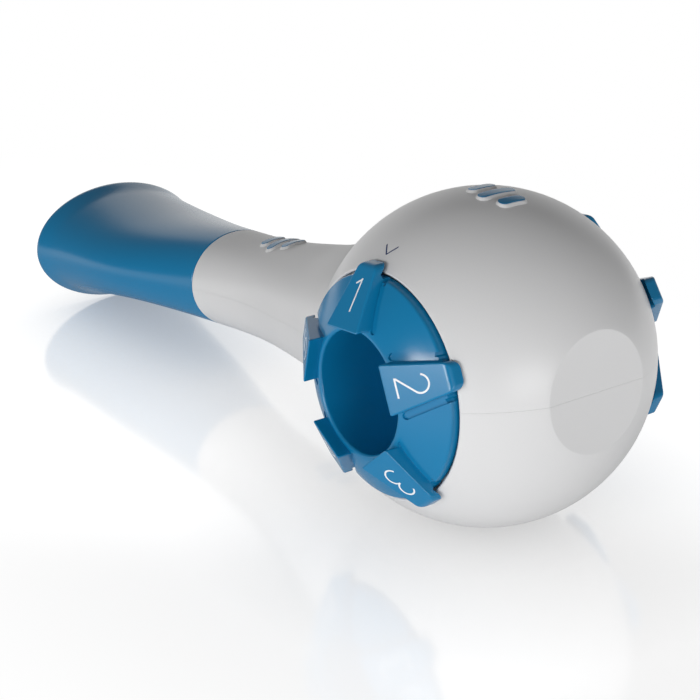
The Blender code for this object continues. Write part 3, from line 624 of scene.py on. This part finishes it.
# A finger tab at the top of the dial: a wedge with a sloping top, rounded all over, that hangs over the ball
def makeTab(extraHeight):
    clear = ball["radius"] + tab["overBall"]
    inner, outer, soft, nose = tab["inner"], tab["outer"], tab["edgeRound"], tab["noseRadius"]
    fall = math.tan(math.radians(tab["slope"]))
    endTop = tab["innerHeight"] + extraHeight - fall * (outer - inner)
    noseAngles = [math.pi / 2 * k / tab["noseSteps"] for k in range(tab["noseSteps"] + 1)]
    underside = [
        (inner, faceHeight(inner) - tab["root"]),
        (dial["rim"] - tab["root"], dial["rimHeight"] - tab["root"]),
        (port["opening"], math.sqrt(clear**2 - port["opening"] ** 2)),
        (outer, math.sqrt(clear**2 - outer**2)),
    ]

    def low(y):
        (y0, z0), (y1, z1) = next((a, b) for a, b in zip(underside, underside[1:]) if y <= b[0] + 1e-6)
        return z0 + (z1 - z0) * (y - y0) / (y1 - y0)

    places = [inner + soft * (1 - math.cos(angle)) for angle in quarterTurn]
    places += [y for y, z in underside[1:3]]
    places += [outer - nose * (1 - math.sin(angle)) for angle in noseAngles]
    obj = stackRings("tab", [(y, 1.0, 1.0) for y in places], tab["facets"])
    for vertex in obj.data.vertices:
        y = min(max(vertex.co.z, inner), outer)
        short = soft - math.sqrt(soft**2 - max(soft - (y - inner), 0.0) ** 2)  # rounds off the inner end
        half = roundedEnd(y, tab["outerHalf"], taper, tab["endRadius"]) - short
        high = roundedEnd(y, endTop, fall, nose) - short
        middle, tall = (high + low(y)) / 2, (high - low(y)) / 2
        corner = max(soft - short, tab["leastRound"])
        x = math.copysign(half - corner, vertex.co.x) + corner * vertex.co.x
        z = math.copysign(tall - corner, vertex.co.y) + corner * vertex.co.y
        vertex.co = (x, y, middle + z)
    startEdit(obj)
    closeUp()
    endEdit()
    return obj


groove = {
    "start": 10.35, "pastRim": 1.6, "half": 0.6, "depth": 0.4, "fromTab": 0.02, "top": 6.0,
    "notchFrom": 17.95, "notchDepth": 1.7, "levelFrom": 20.4,
}


# The two shallow channels beside the tab at the top of the dial, each with a notch in the rim
def makeGrooves():
    def bottom(x, y):
        radius = math.hypot(x, y)
        deeper = groove["notchDepth"] if radius > groove["notchFrom"] else 0.0
        return faceHeight(min(radius, groove["levelFrom"])) - deeper

    start, end = groove["start"], dial["rim"] + groove["pastRim"]
    middle, halfLength = (start + end) / 2, (end - start) / 2
    aside = tab["innerHalf"] - taper * (middle - tab["inner"]) + groove["half"] + groove["fromTab"]
    return [
        surfaceBar(
            "groove", bottom, (side * aside, middle), halfLength, groove["half"], -groove["depth"],
            groove["top"], turn=side * math.atan(taper),
        )
        for side in (-1, 1)
    ]


hole = {
    "circle": 5.6, "largest": 2.5, "smallest": 0.9, "edge": 0.25, "lift": 0.001, "top": 12.0, "bottom": 7.0,
    "facets": 40,
}


# A graded hole in the floor of the dial, with a sloping edge
def makeHole(angle, size):
    high, edge = dial["floorHigh"], hole["edge"]
    wide = size + edge
    profile = [(wide, hole["top"]), (wide, high + hole["lift"]), (size, high - edge), (size, hole["bottom"])]
    cutter = turnedRing("hole", profile, hole["facets"], hollow=False)
    x, y = hole["circle"] * math.sin(angle), hole["circle"] * math.cos(angle)
    cutter.data.transform(Matrix.Translation((x, y, 0.0)))
    return cutter


numeral = {
    "height": 5.5, "stroke": 0.3, "strokeSteps": 2, "flatten": 0.16, "place": 15.1,
    "shifts": (0.8, 0.0, 0.6, 0.3, 0.3, 0.3),  # further out, for each digit
}


# Points on an arc of a numeral, a step about every 9 degrees
def sweep(x, y, radius, start, end):
    return arc((x, y), radius, start, end, max(int(abs(end - start) / 9), 2))


# Plain numerals as strokes, one unit high and standing on 0
numeralStrokes = {
    1: [[(-0.15, 0.84), (0.07, 1.0)], [(0.05, 1.02), (0.05, 0.0)]],
    2: [sweep(0.0, 0.72, 0.26, 165, -38) + [(-0.26, 0.02)], [(-0.28, 0.0), (0.29, 0.0)]],
    3: [sweep(0.0, 0.76, 0.24, 150, -90), sweep(0.0, 0.26, 0.26, 90, -152)],
    4: [[(0.14, 0.0), (0.14, 1.0)], [(0.13, 1.0), (-0.33, 0.29)], [(-0.34, 0.27), (0.34, 0.27)]],
    5: [[(0.26, 1.0), (-0.2, 1.0)], [(-0.19, 1.0), (-0.24, 0.55)], sweep(-0.01, 0.32, 0.32, 136, -145)],
    6: [[(0.13, 1.0)] + sweep(0.0, 0.3, 0.3, 145, 505)],
}


# A thin printed numeral on the sloping top of the tab, its base towards the bore
def makeNumeral(digit, extraHeight):
    curve = bpy.data.curves.new("numeral", "CURVE")
    curve.dimensions = "3D"
    curve.bevel_depth = numeral["stroke"] / 2
    curve.bevel_resolution = numeral["strokeSteps"]
    curve.use_fill_caps = True
    for stroke in numeralStrokes[digit]:
        spline = curve.splines.new("POLY")
        spline.points.add(len(stroke) - 1)
        for point, (x, y) in zip(spline.points, stroke):
            point.co = (x * numeral["height"], (y - 0.5) * numeral["height"], 0.0, 1.0)
    obj = bpy.data.objects.new("numeral", curve)
    bpy.context.scene.collection.objects.link(obj)
    activate(obj)
    bpy.ops.object.convert(target="MESH")
    obj = bpy.context.object
    slope = math.radians(tab["slope"])
    spot = numeral["place"] + numeral["shifts"][digit - 1]
    height = tab["innerHeight"] + extraHeight - math.tan(slope) * (spot - tab["inner"])
    flat = Matrix.Diagonal((1.0, 1.0, numeral["flatten"], 1.0))
    obj.data.transform(Matrix.Translation((0.0, spot, height)) @ Matrix.Rotation(-slope, 4, "X") @ flat)
    startEdit(obj)
    closeUp()
    endEdit()
    return obj


def makeDial(side, settings, extraHeight, sink):
    turn = portTurns[side]
    piece = turnedRing(f"{side}_dial_skin", dialProfile(sink), dial["facets"], hollow=False)
    grooves, tabs, holes, numerals = [], [], [], []
    firstTab, firstGrooves = makeTab(extraHeight), makeGrooves()
    for k in range(settings):
        angle = math.tau * k / settings
        spin = Matrix.Rotation(-angle, 4, "Z")
        for first in firstGrooves:
            grooves.append(copyOf(first, "groove"))
            grooves[-1].data.transform(Matrix.Translation((0.0, 0.0, -sink)) @ spin)
        tabs.append(copyOf(firstTab, "tab"))
        tabs[-1].data.transform(spin)
        size = hole["largest"] + (hole["smallest"] - hole["largest"]) * k / (settings - 1)
        holes.append(makeHole(angle, size))
        numerals.append(makeNumeral(k + 1, extraHeight))
        numerals[-1].data.transform(spin)
    for spare in [firstTab] + firstGrooves:
        bpy.data.objects.remove(spare)
    combine(piece, [joinAll(grooves, "grooves"), joinAll(holes, "holes")], "DIFFERENCE")
    combine(piece, [joinAll(tabs, "tabs")], "UNION")
    piece.data.transform(turn)
    place(piece, f"{side}_dial", finishes["blue"], "clinical_blue", [f"{side}_dial"])
    marks = joinAll(numerals, f"{side}_numerals")
    marks.data.transform(turn)
    place(marks, f"{side}_dial", finishes["print"], "pearl_white")


for side, values in sides.items():
    makeDial(side, **values)
    print(side, "dial made")


pointer = {
    "tipRadius": 21.15, "armRadius": 22.3, "armAngles": (-3.9, 3.5), "halfWidth": 0.1, "longer": 0.06,
    "sunk": 0.05, "rise": 0.02,
}


# A thin printed V above the dial's top tab, its point towards the tab
def makePointer(side):
    arms = []
    tip = Vector((0.0, pointer["tipRadius"]))
    for angle in (math.radians(degrees) for degrees in pointer["armAngles"]):
        end = Vector((math.sin(angle), math.cos(angle))) * pointer["armRadius"]
        along = end - tip
        arms.append(
            surfaceBar(
                "arm", ballSurface, (tip + end) / 2, along.length / 2 + pointer["longer"],
                pointer["halfWidth"], -pointer["sunk"], pointer["rise"], turn=-math.atan2(along.x, along.y),
            )
        )
    mark = joinAll(arms, f"{side}_pointer")
    mark.data.transform(portTurns[side])
    place(mark, "body", finishes["navy"], "clinical_blue")


for side in portTurns:
    makePointer(side)
print("pointers made")


# The inner pieces keep their frame meshes
innerFinishes = {
    "pearl": ("exhale_port_cup", "inhale_port_cup", "exhale_valve_seat", "inhale_valve_cage"),
    "rubber": ("exhale_dial_seal", "inhale_dial_seal"),
    "silicone": ("exhale_valve_disc", "inhale_valve_disc"),
    "steel": ("exhale_click_spring", "inhale_click_spring"),
}
for finish, names in innerFinishes.items():
    for name in names:
        node = frame["nodes"][name]
        node.data.materials.clear()
        node.data.materials.append(finishes[finish])
print("inner pieces finished")


ambient = 0.17
floorLook = {
    "size": 8.0, "albedo": 0.6, "roughness": 0.12, "ior": 2.3,
    "glow": 0.54, "shade": 0.2, "shadeReach": 0.03,  # its glow in the open, and a lower glow close under a piece that paints its shadow
    "seenGlow": 1.32, "mirroredGlow": 0.4,  # how much of it the camera sees, and how much the pieces mirror
    "clearArea": (0.105, 0.052), "fadeFrom": 0.9, "fadeTo": 2.0,  # an ellipse, and the fade to white around it
}
backdrop = {"place": (-1.3, 0.95, 0.45), "size": (3.2, 0.9), "fadeFrom": 0.2, "fadeTo": 0.5}
softboxes = {
    # where it stands, its size, its power in watts
    "softbox_front": ((0.2, -0.6, 0.125), (0.42, 0.07), 1.7),
    "softbox_right": ((0.65, -0.12, 0.1), (0.3, 0.18), 0.9),
}
softboxTarget = (0.02, 0.0, 0.02)
camera = {
    "lens": 80.311, "sensor": 36.0, "clipStart": 0.01,
    "location": (0.23326, -0.16034, 0.1295), "turn": (67.364, -0.528, 54.02),
}


# A glossy white floor that partly glows and so lights the pieces from below. Its glow is lowered close under the
# pieces as a painted shadow, and far off all of it is glowing white
def makeFloor():
    bpy.ops.mesh.primitive_plane_add(size=floorLook["size"], location=(0.0, 0.0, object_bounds()[0].z))
    floor = bpy.context.object
    floor.name = "floor"
    material = bpy.data.materials.new("studio_floor")
    material.use_nodes = True
    links = material.node_tree.links
    shader = material.node_tree.nodes["Principled BSDF"]
    shader.inputs["Base Color"].default_value = (floorLook["albedo"],) * 3 + (1.0,)
    shader.inputs["Roughness"].default_value = floorLook["roughness"]
    shader.inputs["IOR"].default_value = floorLook["ior"]
    shader.inputs["Emission Color"].default_value = (1.0, 1.0, 1.0, 1.0)
    # Painted contact shadow: the floor's glow falls from its open value to a low one wherever a piece is near
    near = addNode(material, "ShaderNodeAmbientOcclusion", Distance=floorLook["shadeReach"], samples=16)
    path = addNode(material, "ShaderNodeLightPath")
    glow = addRange(material, near.outputs["AO"], 0.0, 1.0, floorLook["shade"], floorLook["glow"])
    for ray, share in (("Is Camera Ray", floorLook["seenGlow"]), ("Is Glossy Ray", floorLook["mirroredGlow"])):
        factor = addRange(material, path.outputs[ray], 0.0, 1.0, 1.0, share)
        glow = addMath(material, "MULTIPLY", factor, glow)
    links.new(glow, shader.inputs["Emission Strength"])
    white = addNode(material, "ShaderNodeEmission", Strength=1.0)
    coordinates = addNode(material, "ShaderNodeTexCoord")
    around = addNode(material, "ShaderNodeVectorMath", operation="DIVIDE")
    around.inputs[1].default_value = (*floorLook["clearArea"], 1.0)
    distance = addNode(material, "ShaderNodeVectorMath", operation="LENGTH")
    links.new(coordinates.outputs["Object"], around.inputs[0])
    links.new(around.outputs["Vector"], distance.inputs[0])
    away = distance.outputs["Value"]
    far = addRange(material, away, floorLook["fadeFrom"], floorLook["fadeTo"], 0.0, 1.0, "SMOOTHSTEP")
    mix = addNode(material, "ShaderNodeMixShader")
    links.new(far, mix.inputs[0])
    links.new(shader.outputs["BSDF"], mix.inputs[1])
    links.new(white.outputs["Emission"], mix.inputs[2])
    links.new(mix.outputs["Shader"], material.node_tree.nodes["Material Output"].inputs["Surface"])
    floor.data.materials.append(material)


# A white wall behind the object, which its top edges and the floor mirror. It fades towards its ends
def makeBackdrop():
    away = Vector(backdrop["place"])
    bpy.ops.mesh.primitive_plane_add(size=1.0, location=away)
    wall = bpy.context.object
    wall.name = "backdrop"
    wall.scale = (*backdrop["size"], 1.0)
    wall.rotation_euler = (-away).to_track_quat("Z", "Y").to_euler()
    material = bpy.data.materials.new("studio_backdrop")
    material.use_nodes = True
    links = material.node_tree.links
    dim = addNode(material, "ShaderNodeEmission", Strength=ambient)
    white = addNode(material, "ShaderNodeEmission", Strength=1.0)
    path = addNode(material, "ShaderNodeLightPath")
    coordinates = addNode(material, "ShaderNodeTexCoord")
    parts = addNode(material, "ShaderNodeSeparateXYZ")
    links.new(coordinates.outputs["Object"], parts.inputs["Vector"])
    aside = addMath(material, "ABSOLUTE", parts.outputs["X"])
    fade = addRange(material, aside, backdrop["fadeFrom"], backdrop["fadeTo"], 1.0, 0.0, "SMOOTHSTEP")
    mirrored = addMath(material, "MULTIPLY", fade, path.outputs["Is Glossy Ray"])
    mix = addNode(material, "ShaderNodeMixShader")
    links.new(addMath(material, "MAXIMUM", path.outputs["Is Camera Ray"], mirrored), mix.inputs[0])
    links.new(dim.outputs["Emission"], mix.inputs[1])
    links.new(white.outputs["Emission"], mix.inputs[2])
    links.new(mix.outputs["Shader"], material.node_tree.nodes["Material Output"].inputs["Surface"])
    wall.data.materials.append(material)


# White where the camera looks past everything, and a dim even light on the object
def makeWorld():
    world = bpy.data.worlds.new("studio_world")
    bpy.context.scene.world = world
    world.use_nodes = True
    links = world.node_tree.links
    dim = world.node_tree.nodes["Background"]
    dim.inputs["Color"].default_value = (1.0, 1.0, 1.0, 1.0)
    dim.inputs["Strength"].default_value = ambient
    seen = world.node_tree.nodes.new("ShaderNodeBackground")
    seen.inputs["Color"].default_value = (1.0, 1.0, 1.0, 1.0)
    path = world.node_tree.nodes.new("ShaderNodeLightPath")
    mix = world.node_tree.nodes.new("ShaderNodeMixShader")
    links.new(path.outputs["Is Camera Ray"], mix.inputs[0])
    links.new(dim.outputs["Background"], mix.inputs[1])
    links.new(seen.outputs["Background"], mix.inputs[2])
    links.new(mix.outputs["Shader"], world.node_tree.nodes["World Output"].inputs["Surface"])


def addSoftbox(name, location, size, power):
    bpy.ops.object.light_add(type="AREA", location=location)
    lamp = bpy.context.object
    lamp.name = name
    lamp.data.shape = "RECTANGLE"
    lamp.data.size, lamp.data.size_y = size
    lamp.data.energy = power
    direction = Vector(softboxTarget) - Vector(location)
    lamp.rotation_euler = direction.to_track_quat("-Z", "Y").to_euler()


def makeCamera():
    turn = [math.radians(angle) for angle in camera["turn"]]
    bpy.ops.object.camera_add(location=camera["location"], rotation=turn)
    bpy.context.scene.camera = bpy.context.object
    bpy.context.object.data.lens = camera["lens"]
    bpy.context.object.data.sensor_width = camera["sensor"]
    bpy.context.object.data.clip_start = camera["clipStart"]


makeFloor()
makeBackdrop()
makeWorld()
for name, (location, size, power) in softboxes.items():
    addSoftbox(name, location, size, power)
makeCamera()
bpy.context.scene.view_settings.view_transform = "Standard"
print("studio made")
